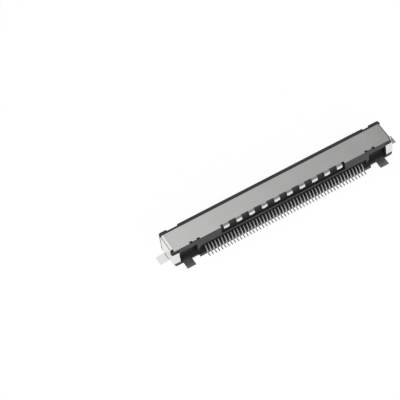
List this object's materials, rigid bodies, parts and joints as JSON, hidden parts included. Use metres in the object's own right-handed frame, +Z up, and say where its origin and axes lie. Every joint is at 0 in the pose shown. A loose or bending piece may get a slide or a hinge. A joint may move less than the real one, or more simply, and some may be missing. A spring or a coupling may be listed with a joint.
{
  "type": "lvds connector",
  "caption": "Right-angle surface-mount board receptacle for a display cable: black comb insulator under a folded tin-plated shell with ground fingers, fine-pitch tails and polarising keyways",
  "frame": {"origin": "middle of the connector's bounding box, on the board plane z = 0", "axes": "X runs along the contact row with the first contact at -X, -Y is the way the mating slot opens, +Y is where the solder tails point, Z is up from the board"},
  "size_m": [0.038, 0.0054, 0.0035],
  "materials": {
    "insulator": "black glass-filled liquid crystal polymer, as moulded",
    "shell": "rolled copper-alloy sheet, satin tin plate",
    "ground": "stamped copper-alloy sheet, matt tin plate",
    "contact": "phosphor bronze, gold on the mating bump and tin on the tail"
  },
  "bodies": {
    "root": {"insulator": "insulator", "shield_shell": "shell", "ground_bar": "ground", "contact_01": "contact", "contact_02": "contact", "contact_03": "contact", "contact_04": "contact", "contact_05": "contact", "contact_06": "contact", "contact_07": "contact", "contact_08": "contact", "contact_09": "contact", "contact_10": "contact", "contact_11": "contact", "contact_12": "contact", "contact_13": "contact", "contact_14": "contact", "contact_15": "contact", "contact_16": "contact", "contact_17": "contact", "contact_18": "contact", "contact_19": "contact", "contact_20": "contact", "contact_21": "contact", "contact_22": "contact", "contact_23": "contact", "contact_24": "contact", "contact_25": "contact", "contact_26": "contact", "contact_27": "contact", "contact_28": "contact", "contact_29": "contact", "contact_30": "contact", "contact_31": "contact", "contact_32": "contact", "contact_33": "contact", "contact_34": "contact", "contact_35": "contact", "contact_36": "contact", "contact_37": "contact", "contact_38": "contact", "contact_39": "contact", "contact_40": "contact", "contact_41": "contact", "contact_42": "contact", "contact_43": "contact", "contact_44": "contact", "contact_45": "contact", "contact_46": "contact", "contact_47": "contact", "contact_48": "contact", "contact_49": "contact", "contact_50": "contact", "contact_51": "contact"}
  },
  "joints": []
}
